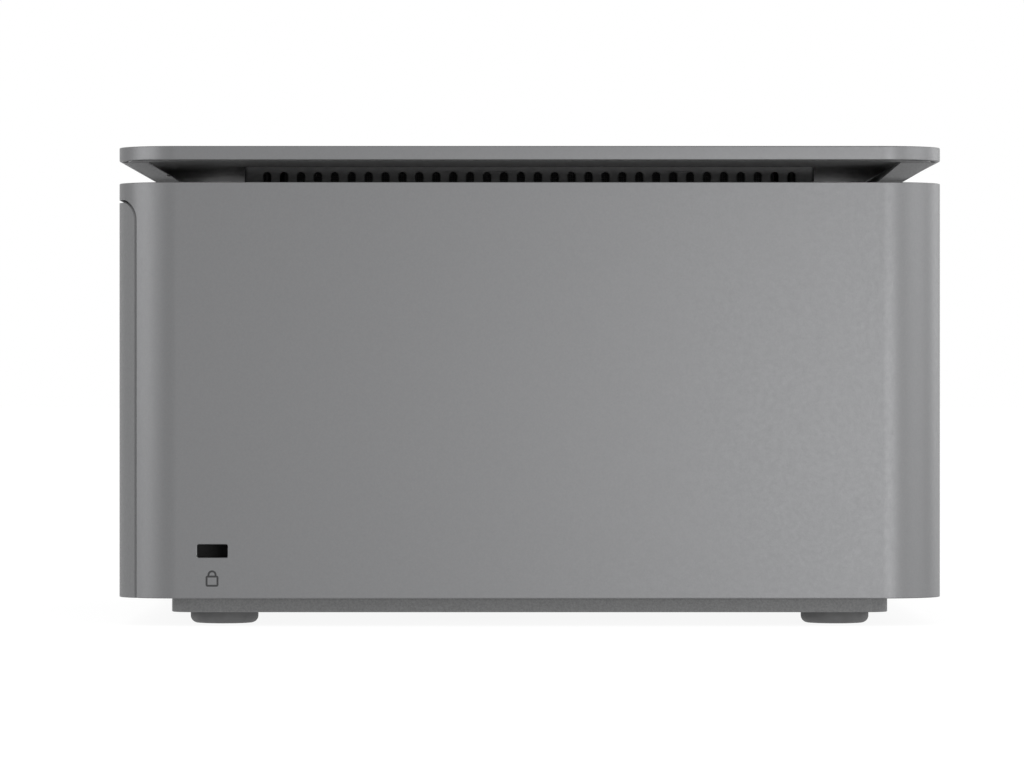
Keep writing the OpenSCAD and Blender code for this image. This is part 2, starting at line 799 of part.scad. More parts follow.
cpu_lead_route = [[45.5, 30, 71], [50, 31, 70], [54, 35, 62], [55, 42, 48], [53, 50, 32],
                  [48, 55, 24], [45, 56, 21]];
rear_lead_route = [[63, 84, 50], [67, 82, 48], [71, 76, 40], [69, 66, 30], [62, 59, 25], [57, 56, 21]];

module cpu_fan_lead() {
    color("black") cable(cpu_lead_route, 1.1);
    color("white") block(45, 56, board_top, 10, 5, 5.8);
}

module rear_fan_lead() {
    color("black") cable(rear_lead_route, 0.9);
    color("white") block(57, 56, board_top, 8, 5, 5.8);
}

// ---------- memory, storage and radio ----------

memory_x = 66;
memory_y = -22;

module memory_sockets() {
    color("black") for (i = [0, 1])
        block(memory_x + 15, memory_y, board_top, 5 - i * 0.001, 73, 5 + 5 * i);
    color("silver") for (y = [-1, 1])
        block(memory_x + 1, memory_y + y * 36, board_top, 26, 1, 8.5);
}

module memory_modules() {
    for (i = [0, 1]) {
        color("darkgreen") block(memory_x - 1 - i * 0.5, memory_y, board_top + 2.6 + 4.4 * i, 27, 69.6, 1.2);
        color("black") for (y = [-24, -9, 9, 24])
            block(memory_x - 2, memory_y + y, board_top + 3.8 + 4.4 * i, 9, 11, 1);
    }
}

ssd_x = -62;
ssd_y = -26;

module ssd_module() {
    color("darkgreen") block(ssd_x, ssd_y, board_top + 2.4, 22, 80, 0.8);
    color("black") block(ssd_x, ssd_y - 41, board_top, 22, 6, 4);
    color("gold") translate([ssd_x, ssd_y + 38, board_top]) cylinder(r = 2, h = 2.4);
}

module ssd_heatsink() {
    color("silver") difference() {
        block(ssd_x, ssd_y + 1, board_top + 3.6, 22, 74, 6);
        for (i = [-3 : 3]) block(ssd_x + i * 2.9, ssd_y + 1, board_top + 5.4, 1.5, 80, 6);
    }
}

module wifi_card() {
    color("darkgreen") block(ssd_x, 40, board_top + 2.4, 22, 30, 0.8);
    color("silver") block(ssd_x, 38, board_top + 3.2, 18, 20, 1.4);
    color("black") block(ssd_x, 56, board_top, 22, 5, 4);
    color("gold") for (x = [-5, 5]) translate([ssd_x + x, 50.6, board_top + 3.2]) cylinder(r = 1, h = 1);
}

plug_top = board_top + 4.2;

// Small aerial boards standing behind the plastic rear panel
module wifi_antennas() {
    color("gold") for (x = [-76, 76]) block(x, inner_d / 2 - 0.8, 64, 10, 0.8, 22);
}

module antenna_leads() {
    color("black") {
        cable([[-67, 50.6, plug_top], [-68, 54, 24], [-73, 64, 34], [-77, 78, 50],
               [-77, 88, 62], [-76, 91, 70]], 0.7);
        cable([[-57, 50.6, plug_top], [-54, 54, 28], [-40, 70, 62], [-10, 72, 88], [40, 71, 89.6],
               [58, 72, 89], [70, 79, 84], [75, 87, 78], [76, 91, 72]], 0.7);
    }
}

module coin_cell() {
    color("black") translate([-30, -58, board_top]) difference() {
        cylinder(r = 11.6, h = 4);
        translate([0, 0, 1]) cylinder(r = 10.1, h = 4);
    }
    color("silver") translate([-30, -58, board_top + 1]) cylinder(r = 10, h = 3.2);
}

chipset_x = 36;
regulator_y = 68.5;

module chipset_heatsink() {
    color("silver") difference() {
        block(chipset_x, -56, board_top, 28, 22, 9);
        for (i = [-4 : 4]) block(chipset_x + i * 3, -56, board_top + 2.6, 1.6, 30, 9);
    }
}

module regulator_heatsink() {
    color("silver") difference() {
        block(-1, regulator_y, board_top + 4.2, 70, 11, 12);
        for (i = [-10 : 10]) block(-1 + i * 3.3, regulator_y, board_top + 8, 1.8, 20, 12);
    }
}

module power_inductors() {
    color("gray") for (i = [-3 : 3]) block(-1 + i * 9.5, regulator_y, board_top, 7, 7, 4.2);
}

// Low enough to stand under the heat pipes
capacitor_h = 6.3;

module capacitors() {
    color("silver") {
        for (i = [0 : 7]) translate([-28 + i * 8, 54, board_top]) cylinder(r = 3, h = capacitor_h);
        for (y = [22, 31]) translate([76, y, board_top]) cylinder(r = 3, h = capacitor_h);
    }
}

// ---------- sockets ----------

// A sheet-metal socket shell that opens along +Y at y = 0, centred on its opening
module socket_shell(w, h, depth, sheet_t = 0.4, r = 0.6) {
    rotate([90, 0, 0]) difference() {
        linear_extrude(depth) rounded_rect(w, h, r);
        translate([0, 0, -1]) linear_extrude(depth)
            rounded_rect(w - 2 * sheet_t, h - 2 * sheet_t, r - 0.2);
    }
}

module dc_inlet() {
    z = board_top + 6;
    color("black") difference() {
        union() {
            block(dc_x, port_face - wall - 6.5, board_top, 12, 13, 12);
            translate([dc_x, port_face - wall - 1, z]) rotate([-90, 0, 0]) cylinder(r = 4.4, h = wall + 1);
        }
        translate([dc_x, port_face - 11, z]) rotate([-90, 0, 0]) cylinder(r = 3.2, h = 12);
    }
}

module dc_inlet_pin() {
    color("silver") translate([dc_x, port_face - 11, board_top + 6])
        rotate([-90, 0, 0]) cylinder(r = dc_pin_r, h = 9.5);
}

module ethernet_socket() {
    z = board_top + 6.8;
    color("silver") difference() {
        block(ethernet_x, port_face - 10.5, board_top, 16, 21, 13.6);
        block(ethernet_x, port_face - 6.5, z - 3.6, 11.8, 13.01, 7.6);
        block(ethernet_x, port_face - 6.5, z - 5.2, 6, 13.01, 2);
    }
}

module rear_usb_sockets() {
    color("silver") for (x = usb_stack_x) difference() {
        block(x, port_face - 9, board_top, 14.4, 18, 15.6);
        for (z = [4, 11.8]) block(x, port_face - 6, board_top + z - 2.55, 12.6, 12.01, 5.1);
    }
}

module video_sockets() {
    color("silver") {
        for (x = hdmi_x) {
            translate([x, port_face, board_top + 4]) socket_shell(15.2, 5.8, 12);
            block(x, port_face - 9, board_top, 12, 6, 1.12);
        }
        for (x = dp_x) {
            translate([x, port_face, board_top + 4]) socket_shell(17, 6, 12);
            block(x, port_face - 9, board_top, 12, 6, 1.02);
        }
    }
}

module front_usb_sockets() {
    color("silver") translate([0, front_port_face, front_z]) rotate([0, 0, 180]) {
        for (x = usb_c_x) translate([-x, 0, 0]) socket_shell(9, 3.3, 9, 0.3, 1.6);
        translate([-front_usb_x, 0, 0]) socket_shell(13.2, 5.7, 14);
    }
    color("black") {
        for (x = usb_c_x) block(x, front_port_face + 5.5, board_top, 9, 7, front_z - 1.65 - board_top + eps);
        block(front_usb_x, front_port_face + 8, board_top, 13.2, 11, front_z - 2.85 - board_top + eps);
    }
}

// The plastic tongues with the contacts, inside every socket
module socket_tongues() {
    color("navy") for (x = usb_stack_x, z = [4, 11.8])
        block(x, port_face - 6.6, board_top + z + 0.1, 11, 10.8, tongue_t);
    color("black") {
        for (x = hdmi_x) block(x, port_face - 6.2, board_top + 3.6, 11, 9.6, 0.9);
        for (x = dp_x) block(x, port_face - 6.2, board_top + 3.4, 12.4, 9.6, 1.1);
        for (x = usb_c_x) block(x, front_port_face + 4.4, front_z - 0.35, 6.6, 7.2, 0.7);
        block(ethernet_x, port_face - 8.9, board_top + 8.6, 9, 8.2, 2.1);
    }
    color("navy") block(front_usb_x, front_port_face + 7.2, front_z - 0.1, 11, 11.6, tongue_t);
}

module audio_jack() {
    jack_depth = 14;
    color("black") difference() {
        union() {
            block(audio_x, front_port_face + 1 + jack_depth / 2, board_top,
                  9, jack_depth, front_z + 3.4 - board_top);
            translate([audio_x, front_port_face, front_z]) rotate([-90, 0, 0]) cylinder(r = 3, h = 4);
        }
        translate([audio_x, front_port_face - 1, front_z])
            rotate([-90, 0, 0]) cylinder(r = audio_r, h = jack_depth + 1);
    }
}

switch_y = stem_end + button_travel / 2 + 0.04;

module switch_body() {
    body_y = switch_y + 1.2;
    color("silver") difference() {
        translate([button_x - 3.2, body_y, front_z - 3.2]) cube([6.4, 3.4, 6.4]);
        cut_along_y(body_y - 1, 2.4) translate([button_x, front_z]) circle(r = 1.75 + shaft_slip);
    }
    color("black") block(button_x, body_y + 1.7, board_top, 6.4, 3.4, front_z - 3.2 - board_top);
}

module switch_actuator() {
    color("black") translate([button_x, switch_y, front_z]) rotate([-90, 0, 0]) cylinder(r = 1.75, h = 2.2);
}

// ---------- one name at a time ----------

outer_shell();
lid_plate();
lid_tray();
top_deck();
deck_screws();
lid_screws();
dust_filter();
power_button();
button_bracket();
button_spring();
light_pipe();
base_pan();
rubber_feet();
rear_panel();
base_screws();
cover_screws();
lock_bracket();
motherboard();
board_standoffs();
board_screws();
front_io_board();
front_io_ribbon();
cpu_backplate();
cpu_socket();
cpu_package();
cold_plate();
heat_pipes();
fin_stack();
cooler_screws();
cpu_fan_frame();
cpu_fan_rotor();
cpu_fan_screws();
cpu_fan_lead();
rear_fan_frame();
rear_fan_rotor();
rear_fan_screws();
rear_fan_lead();
memory_sockets();
memory_modules();
ssd_module();
ssd_heatsink();
wifi_card();
wifi_antennas();
antenna_leads();
coin_cell();
chipset_heatsink();
regulator_heatsink();
power_inductors();
capacitors();
dc_inlet();
dc_inlet_pin();
ethernet_socket();
rear_usb_sockets();
video_sockets();
front_usb_sockets();
socket_tongues();
audio_jack();
switch_body();
switch_actuator();
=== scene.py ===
import math
import random

import bmesh
import bpy
from mathutils import Matrix, Vector


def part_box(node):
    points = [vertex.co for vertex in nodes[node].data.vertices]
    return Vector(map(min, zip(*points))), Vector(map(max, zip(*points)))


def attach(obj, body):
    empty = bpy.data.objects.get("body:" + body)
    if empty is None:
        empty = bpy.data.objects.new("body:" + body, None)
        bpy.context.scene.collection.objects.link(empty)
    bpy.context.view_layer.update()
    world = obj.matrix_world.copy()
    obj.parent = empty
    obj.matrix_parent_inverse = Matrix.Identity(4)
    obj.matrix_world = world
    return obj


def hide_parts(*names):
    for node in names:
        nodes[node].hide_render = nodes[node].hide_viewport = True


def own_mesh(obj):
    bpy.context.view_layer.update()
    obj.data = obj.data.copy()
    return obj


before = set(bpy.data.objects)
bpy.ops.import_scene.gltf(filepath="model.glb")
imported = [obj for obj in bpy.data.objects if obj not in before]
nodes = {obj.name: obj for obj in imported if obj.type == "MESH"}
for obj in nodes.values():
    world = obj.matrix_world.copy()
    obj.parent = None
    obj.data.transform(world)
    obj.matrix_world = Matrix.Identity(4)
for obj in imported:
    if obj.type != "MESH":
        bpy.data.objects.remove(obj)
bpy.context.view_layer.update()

MM = 0.001
FLOOR_GLOW = 0.9
rng = random.Random(7)


# ---------------------------------------------------------------- materials

class Shader:
    """A Principled material and the few nodes that give it its grain."""

    def __init__(self, name, colour, rough=0.5, metal=0.0, **inputs):
        self.mat = bpy.data.materials.new(name)
        self.mat.use_nodes = True
        self.mat.diffuse_color = (*colour, 1)
        self.tree = self.mat.node_tree
        self.main = self.tree.nodes["Principled BSDF"]
        self.colour = colour
        self.set("Base Color", (*colour, 1))
        self.set("Roughness", rough)
        self.set("Metallic", metal)
        for key, value in inputs.items():
            self.set(key.replace("_", " "), value)
        self.place = self.add("ShaderNodeTexCoord").outputs["Object"]

    def add(self, kind, **values):
        made = self.tree.nodes.new(kind)
        for key, value in values.items():
            if key in made.inputs:
                made.inputs[key].default_value = value
            else:
                setattr(made, key, value)
        return made

    def set(self, socket, value):
        self.main.inputs[socket].default_value = value

    def link(self, a, b):
        self.tree.links.new(a, b)

    def stretched(self, scale):
        """Object coordinates with a different scale along each axis."""
        mapping = self.add("ShaderNodeMapping")
        mapping.inputs["Scale"].default_value = scale
        self.link(self.place, mapping.inputs["Vector"])
        return mapping.outputs["Vector"]

    def noise(self, scale, detail=3.0, rough=0.55, where=None):
        made = self.add("ShaderNodeTexNoise", Scale=scale, Detail=detail, Roughness=rough)
        self.link(where or self.place, made.inputs["Vector"])
        return made.outputs["Fac"]

    def cells(self, scale, feature="F1", where=None):
        made = self.add("ShaderNodeTexVoronoi", Scale=scale, feature=feature)
        self.link(where or self.place, made.inputs["Vector"])
        return made.outputs["Distance"]

    def waves(self, scale, direction="X", where=None):
        made = self.add("ShaderNodeTexWave", Scale=scale, bands_direction=direction)
        self.link(where or self.place, made.inputs["Vector"])
        return made.outputs["Fac"]

    def spread(self, fac, low, high):
        """fac from 0 to 1 mapped to low to high."""
        made = self.add("ShaderNodeMapRange")
        made.inputs["To Min"].default_value = low
        made.inputs["To Max"].default_value = high
        self.link(fac, made.inputs["Value"])
        return made.outputs["Result"]

    def ramp(self, fac, stops):
        made = self.add("ShaderNodeValToRGB")
        ramp = made.color_ramp
        while len(ramp.elements) < len(stops):
            ramp.elements.new(0.5)
        for element, (at, colour) in zip(ramp.elements, stops):
            element.position = at
            element.color = (*colour, 1)
        self.link(fac, made.inputs["Fac"])
        return made.outputs["Color"]

    def vary_colour(self, fac, amount, low=0.3, high=0.7):
        """The base colour, a little darker and lighter with fac."""
        dark = [c * (1 - amount) for c in self.colour]
        light = [min(1, c * (1 + amount)) for c in self.colour]
        self.link(self.ramp(fac, [(low, dark), (high, light)]), self.main.inputs["Base Color"])
        return self

    def vary_rough(self, fac, low, high):
        self.link(self.spread(fac, low, high), self.main.inputs["Roughness"])
        return self

    def bump(self, height, depth, strength=1.0):
        made = self.add("ShaderNodeBump", Strength=strength, Distance=depth)
        self.link(height, made.inputs["Height"])
        before = self.main.inputs["Normal"]
        if before.is_linked:
            self.link(before.links[0].from_socket, made.inputs["Normal"])
        self.link(made.outputs["Normal"], before)
        return self


def blasted(name, colour, rough, metal=1.0):
    """Bead-blasted and anodised metal: a very fine even grain."""
    s = Shader(name, colour, rough, metal)
    s.vary_colour(s.noise(2600, 2.0), 0.03)
    s.vary_rough(s.noise(900, 4.0), rough - 0.04, rough + 0.05)
    s.bump(s.noise(6500, 2.0), 0.012 * MM, 0.25)
    return s.mat


def powder_coat(name, colour, rough, grain=2300, speck=0.16):
    """Textured powder coat: fine speckles and a pebbled surface."""
    s = Shader(name, colour, rough, 0.0, Specular_IOR_Level=0.45)
    s.vary_colour(s.noise(grain, 3.0, 0.7), speck, 0.36, 0.64)
    s.vary_rough(s.noise(grain * 0.4), rough - 0.08, rough + 0.1)
    s.bump(s.cells(grain * 0.8, "SMOOTH_F1"), 0.06 * MM, 0.5)
    s.bump(s.noise(grain * 2.2, 2.0), 0.02 * MM, 0.4)
    return s.mat


def moulded(name, colour, rough, grain=3200, depth=0.02, coat=0.0):
    """Moulded plastic or rubber with a light spark-eroded grain."""
    s = Shader(name, colour, rough, 0.0, Coat_Weight=coat)
    s.vary_colour(s.noise(420, 3.0), 0.12)
    s.vary_rough(s.noise(700, 3.0), rough - 0.07, rough + 0.07)
    s.bump(s.noise(grain, 3.0), depth * MM, 0.5)
    return s.mat


def drawn_metal(name, colour, rough, lines=(300, 9000, 9000), depth=0.012, vary=0.1):
    """Rolled, drawn or turned metal: fine lines along one axis."""
    s = Shader(name, colour, rough, 1.0)
    along = s.stretched(lines)
    s.vary_colour(s.noise(1.0, 4.0, 0.6, along), vary)
    s.vary_rough(s.noise(1.0, 3.0, 0.6, along), rough - 0.08, rough + 0.1)
    s.bump(s.noise(1.0, 2.0, 0.5, along), depth * MM, 0.6)
    return s.mat


# Hardly changes along Z, so that a board's pattern runs straight through its thickness
FLATTENED = (1, 1, 0.01)


def board_material(name, mask, track):
    """Solder mask over copper tracks: runs of thin raised lines and small round vias."""
    s = Shader(name, mask, 0.35, 0.0, Coat_Weight=0.25, Coat_Roughness=0.2)
    patch = s.cells(70, "F1", s.stretched(FLATTENED))
    runs_x = s.waves(620, "X", s.stretched(FLATTENED))
    runs_y = s.waves(620, "Y", s.stretched(FLATTENED))
    pick = s.add("ShaderNodeMath", operation="GREATER_THAN")
    pick.inputs[1].default_value = 0.0075
    s.link(patch, pick.inputs[0])
    swap = s.add("ShaderNodeMix")
    s.link(pick.outputs[0], swap.inputs["Factor"])
    s.link(runs_x, swap.inputs["A"])
    s.link(runs_y, swap.inputs["B"])
    lines = s.ramp(swap.outputs["Result"], [(0.62, (0, 0, 0)), (0.7, (1, 1, 1))])
    vias = s.ramp(s.cells(330), [(0.0006, (1, 1, 1)), (0.0009, (0, 0, 0))])
    tone = s.add("ShaderNodeMix", data_type="RGBA")
    tone.inputs["A"].default_value = (*mask, 1)
    tone.inputs["B"].default_value = (*track, 1)
    s.link(lines, tone.inputs["Factor"])
    s.link(tone.outputs["Result"], s.main.inputs["Base Color"])
    s.bump(lines, 0.03 * MM, 0.5)
    s.bump(vias, 0.04 * MM, 0.5)
    return s.mat


def woven(name, colour, pitch, directions="XY"):
    """A fine screen: threads over and under in two directions."""
    s = Shader(name, colour, 0.7)
    scale = 0.314 / pitch
    warp, weft = (s.waves(scale, direction) for direction in directions)
    both = s.add("ShaderNodeMath", operation="MAXIMUM")
    s.link(warp, both.inputs[0])
    s.link(weft, both.inputs[1])
    threads = s.ramp(both.outputs[0], [(0.3, (0.002, 0.002, 0.002)), (0.8, colour)])
    s.link(threads, s.main.inputs["Base Color"])
    s.bump(both.outputs[0], 0.1 * MM, 0.8)
    return s.mat


M = {
    "shell": blasted("shell_metal", (0.146, 0.147, 0.150), 0.46, 0.9),
    "lid": blasted("lid_metal", (0.146, 0.147, 0.150), 0.44, 0.9),
    "panel": powder_coat("panel_paint", (0.098, 0.099, 0.101), 0.5, 2300, 0.06),
    "base": powder_coat("base_paint", (0.112, 0.113, 0.114), 0.55),
    "tray": powder_coat("tray_paint", (0.155, 0.156, 0.158), 0.55, 2300, 0.07),
    # A near-black coat: the lock bracket's own black coat, and painted shade on the faces inside the
    # slotted cage, which keeps its slots dark
    "black": powder_coat("black_paint", (0.004, 0.004, 0.004), 0.7),
    "rubber": moulded("foot_rubber", (0.068, 0.068, 0.069), 0.72, 2600, 0.03),
    "dark": moulded("dark_plastic", (0.055, 0.055, 0.056), 0.5),
    "deck": moulded("deck_plastic", (0.15, 0.15, 0.152), 0.5),
    # Painted shade: the cage walls are the deck's plastic made darker for the shade in the recess under the
    # lid
    "cage": moulded("cage_plastic", (0.08, 0.08, 0.081), 0.5),
    # Painted light: the lid's underside and the skirts' inner faces get a much paler metal than the lid,
    # standing in for light that reaches the gap under the lid
    "under": blasted("lid_underside_painted_light", (0.60, 0.60, 0.605), 0.45),
    "fan": moulded("fan_plastic", (0.018, 0.018, 0.019), 0.38, 2400, 0.015, 0.1),
    "socket": moulded("socket_plastic", (0.016, 0.016, 0.017), 0.45),
    "ivory": moulded("connector_plastic", (0.62, 0.60, 0.53), 0.45),
    "blue": moulded("tongue_plastic", (0.02, 0.07, 0.28), 0.4),
    "sleeve": moulded("cable_sleeve", (0.014, 0.014, 0.014), 0.5, 5200, 0.05),
    "ribbon": moulded("ribbon_plastic", (0.66, 0.66, 0.62), 0.35),
    "epoxy": moulded("chip_epoxy", (0.022, 0.022, 0.024), 0.42, 4200, 0.01),
    "ceramic": moulded("passive_ceramic", (0.24, 0.17, 0.11), 0.4, 5200, 0.01),
    "ferrite": moulded("ferrite", (0.085, 0.085, 0.09), 0.6, 2600, 0.04),
    "clear": moulded("clear_plastic", (0.80, 0.86, 0.9), 0.25, 2600, 0.01, 0.4),
    "ink": moulded("printed_ink", (0.008, 0.008, 0.009), 0.6, 5200, 0.004),
    "screw": drawn_metal("screw_steel", (0.46, 0.46, 0.47), 0.3, (2600, 2600, 2600), 0.01),
    "spring": drawn_metal("spring_steel", (0.62, 0.62, 0.63), 0.25, (4000, 400, 4000)),
    "steel": drawn_metal("bracket_steel", (0.50, 0.50, 0.50), 0.34),
    "tin": drawn_metal("socket_metal", (0.60, 0.60, 0.60), 0.27, (6000, 500, 6000), 0.008),
    "nickel": drawn_metal("nickel_plate", (0.66, 0.655, 0.63), 0.26, (500, 6000, 6000), 0.006, 0.05),
    "brass": drawn_metal("brass", (0.72, 0.50, 0.22), 0.3, (5200, 5200, 700)),
    "gold": drawn_metal("gold_plate", (0.90, 0.66, 0.25), 0.25, (6000, 900, 6000), 0.004, 0.06),
    "copper": drawn_metal("copper", (0.80, 0.40, 0.24), 0.27, (6000, 350, 6000), 0.012, 0.14),
    "fins": drawn_metal("fin_aluminium", (0.74, 0.745, 0.75), 0.3, (260, 5200, 5200), 0.01, 0.06),
    "board": board_material("circuit_board", (0.010, 0.034, 0.022), (0.022, 0.075, 0.045)),
    "mesh": woven("filter_mesh", (0.05, 0.05, 0.05), 0.5 * MM),
    "screen": woven("side_screen", (0.03, 0.03, 0.03), 0.5 * MM, "YZ"),
}


# ---------------------------------------------------------------- CAD nodes

def corner(node, which):
    """A CAD node's lowest (0) or highest (1) corner as a vector, in metres."""
    return Vector(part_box(node)[which])


def box_mm(node):
    """A CAD node's lowest and highest corners, in millimetres."""
    return corner(node, 0) / MM, corner(node, 1) / MM


def middle(node):
    return (corner(node, 0) + corner(node, 1)) / 2


def solids(node):
    """The box of every separate solid in a CAD node."""
    mesh = nodes[node].data
    keys = [tuple(round(c / MM, 2) for c in v.co) for v in mesh.vertices]
    parent = {k: k for k in keys}

    def find(k):
        while parent[k] != k:
            parent[k] = parent[parent[k]]
            k = parent[k]
        return k

    for face in mesh.polygons:
        first = find(keys[face.vertices[0]])
        for i in face.vertices[1:]:
            parent[find(keys[i])] = first
    groups = {}
    for k in parent:
        groups.setdefault(find(k), []).append(k)
    boxes = []
    for points in groups.values():
        low = Vector([min(p[a] for p in points) * MM for a in range(3)])
        high = Vector([max(p[a] for p in points) * MM for a in range(3)])
        boxes.append((low, high))
    return sorted(boxes, key=lambda b: tuple(b[0]))


def weighted(obj):
    """Shades each flat face flat, up to the small rounds on its edges."""
    made = obj.modifiers.new("normals", "WEIGHTED_NORMAL")
    made.keep_sharp = True
    made.weight = 60
    return obj


def polish(obj, width, steps=2, angle=35):
    """Merges the mesh's split corners and rounds its sharp edges a little, as on the real piece."""
    obj.data.polygons.foreach_set("use_smooth", [True] * len(obj.data.polygons))
    weld = obj.modifiers.new("weld", "WELD")
    weld.merge_threshold = 0.0015 * MM
    flat = obj.modifiers.new("flat", "DECIMATE")
    flat.decimate_type = "DISSOLVE"
    flat.angle_limit = math.radians(0.6)
    flat.delimit = {"MATERIAL"}
    if width:
        bevel = obj.modifiers.new("edge", "BEVEL")
        bevel.width = width * MM
        bevel.segments = steps
        bevel.limit_method = "ANGLE"
        bevel.angle_limit = math.radians(angle)
        bevel.use_clamp_overlap = False
        bevel.miter_outer = "MITER_ARC"
    weighted(obj)


def dress(node, look, width=0.1, steps=2, parts=(), angle=35):
    """Gives a CAD node its material and edges.

    parts are (material, test) pairs. A test takes a face's centre in millimetres and its normal, and the
    first that holds decides.
    """
    obj = nodes[node]
    obj.data.materials.clear()
    for key in [look] + [p[0] for p in parts]:
        obj.data.materials.append(M[key])
    for face in obj.data.polygons:
        face.material_index = 0
        centre = face.center / MM
        for i, (_, test) in enumerate(parts):
            if test(centre, face.normal):
                face.material_index = i + 1
                break
    polish(obj, width, steps, angle)


BOARD_TOP = corner("motherboard", 1).z / MM
PLUG_TOP = BOARD_TOP + 5.82
LID_LOW = corner("lid_plate", 0).z / MM
DECK_TOP = corner("dust_filter", 0).z / MM
CAGE_INSIDE = corner("dust_filter", 1).x / MM + 0.9


def above(z):
    return lambda c, n: c.z > z + 0.02


def below(z):
    return lambda c, n: c.z < z


def beyond_x(x):
    return lambda c, n: abs(c.x) > x


def behind(y):
    """Nearer the rear than y."""
    return lambda c, n: c.y > y


def lead_plug(end):
    """The plug of a fan lead, which stands on the board and reaches to x = end."""
    return [("ivory", lambda c, n: c.z < PLUG_TOP and c.x < end)]


# Faces of the lid's underside, which get the paler metal as painted light
def lid_underside_painted_light(c, n):
    return n.z < -0.9 and c.z > LID_LOW - 0.1


def skirt_inner_face(c, n):
    return c.y * n.y < 0 and n.z > 0.1


# Faces inside the cage, which get near-black as painted shade
def inside_cage(c, n):
    return c.z > DECK_TOP + 0.02 and abs(c.x) < CAGE_INSIDE


def memory_chips(c, n):
    """The strip of each memory module that its chips cover."""
    return 58 < c.x < 69 and (abs(c.z - BOARD_TOP - 4.3) < 0.52 or c.z > BOARD_TOP + 8.22)


def cell_holder(c, n):
    """What lies outside the coin cell's own radius."""
    return (c.xy - Vector((-30, -58))).length > 10.02


def blue_tongues(c, n):
    """The tongues of the rear USB stacks and of the front type A socket."""
    return (c.y > 0 and -41 < c.x < -6) or (c.y < 0 and c.x > -35)


dress("outer_shell", "shell", 0.2, 3)
dress("lid_plate", "lid", 0.25, 3)
# The paler metal on the lid's underside and the skirts' inner faces is painted light in the gap
dress("lid_tray", "tray", 0.25, 2, [("under", lid_underside_painted_light), ("under", skirt_inner_face)])
# Inside the cage is near-black as painted shade, and the cage walls a darker copy of the deck plastic as
# painted shade
dress("top_deck", "deck", 0.15, 2, [("black", inside_cage), ("cage", above(DECK_TOP))])
dress("power_button", "lid", 0.25, 3)
dress("base_pan", "base", 0.2, 3)
dress("rear_panel", "panel", 0.1, 2)
dress("lock_bracket", "black", 0.2)
dress("dust_filter", "mesh", 0.0, parts=[("screen", beyond_x(50))])
dress("button_bracket", "dark", 0.2)
dress("light_pipe", "clear", 0.15)
for name in ("deck_screws", "lid_screws", "base_screws", "cover_screws", "board_screws", "cooler_screws",
             "cpu_fan_screws", "rear_fan_screws"):
    dress(name, "screw", 0.12)
dress("motherboard", "board", 0.0)
dress("front_io_board", "board", 0.0)
dress("board_standoffs", "brass", 0.15)
dress("front_io_ribbon", "ribbon", 0.0, parts=[("ivory", below(BOARD_TOP + 1.62))])
dress("cpu_backplate", "steel", 0.15)
dress("cpu_socket", "socket", 0.1, parts=[("steel", above(BOARD_TOP + 2.4))])
dress("cpu_package", "board", 0.15, parts=[("nickel", above(BOARD_TOP + 2.4))])
dress("cold_plate", "copper", 0.2, parts=[("steel", beyond_x(22.1))])
dress("heat_pipes", "copper", 0.0)
dress("fin_stack", "fins", 0.0)
dress("cpu_fan_frame", "fan", 0.3)
dress("rear_fan_frame", "fan", 0.3)
dress("cpu_fan_lead", "sleeve", 0.3, 2, lead_plug(50.1), 40)
dress("rear_fan_lead", "sleeve", 0.25, 2, lead_plug(61.1), 40)
dress("memory_sockets", "socket", 0.2, parts=[("tin", lambda c, n: c.x < 78.4)])
dress("memory_modules", "board", 0.08, parts=[("epoxy", memory_chips)])
dress("ssd_module", "board", 0.08, parts=[("socket", lambda c, n: c.y < -64.05), ("brass", behind(9.9))])
dress("ssd_heatsink", "fins", 0.15)
dress("wifi_card", "board", 0.1,
      parts=[("socket", behind(53.4)), ("gold", behind(49.2)), ("tin", above(BOARD_TOP + 3.2))])
dress("wifi_antennas", "board", 0.05)
dress("antenna_leads", "sleeve", 0.2, 2, (), 40)
dress("coin_cell", "nickel", 0.2, 2, [("socket", cell_holder)])
dress("chipset_heatsink", "fins", 0.15)
dress("regulator_heatsink", "fins", 0.15)
dress("power_inductors", "ferrite", 0.35, 3)
dress("capacitors", "nickel", 0.35, 3)
dress("dc_inlet", "socket", 0.2)
dress("dc_inlet_pin", "nickel", 0.3, 3)
dress("ethernet_socket", "tin", 0.15)
dress("rear_usb_sockets", "tin", 0.15)
dress("video_sockets", "tin", 0.1)
dress("front_usb_sockets", "tin", 0.08, parts=[("socket", below(BOARD_TOP + 4.93))])
dress("socket_tongues", "socket", 0.12, parts=[("blue", blue_tongues)])
dress("audio_jack", "socket", 0.2)
dress("switch_body", "tin", 0.15, parts=[("socket", below(BOARD_TOP + 4.58))])
dress("switch_actuator", "dark", 0.25)


# ---------------------------------------------------------------- mesh tools

def finish_mesh(name, bm, body, looks, smooth=True):
    """Turns a bmesh in millimetres into an object that rides on a CAD body."""
    bmesh.ops.recalc_face_normals(bm, faces=bm.faces)
    bmesh.ops.scale(bm, vec=(MM, MM, MM), verts=bm.verts)
    mesh = bpy.data.meshes.new(name)
    bm.to_mesh(mesh)
    bm.free()
    for key in looks:
        mesh.materials.append(M[key])
    mesh.polygons.foreach_set("use_smooth", [smooth] * len(mesh.polygons))
    obj = bpy.data.objects.new(name, mesh)
    bpy.context.collection.objects.link(obj)
    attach(obj, body)
    return obj


def ring(bm, points, previous=None, look=0):
    """A ring of points, joined by quads to the ring before it."""
    made = [bm.verts.new(p) for p in points]
    if previous:
        for i in range(len(made)):
            j = (i + 1) % len(made)
            bm.faces.new((previous[i], previous[j], made[j], made[i])).material_index = look
    return made


def stack(bm, loops, look=0):
    """Rings joined in turn, with a cap on each end."""
    last = None
    for loop in loops:
        if last is None:
            last = ring(bm, loop)
            bm.faces.new(last[::-1]).material_index = look
        else:
            last = ring(bm, loop, last, look)
    bm.faces.new(last).material_index = look


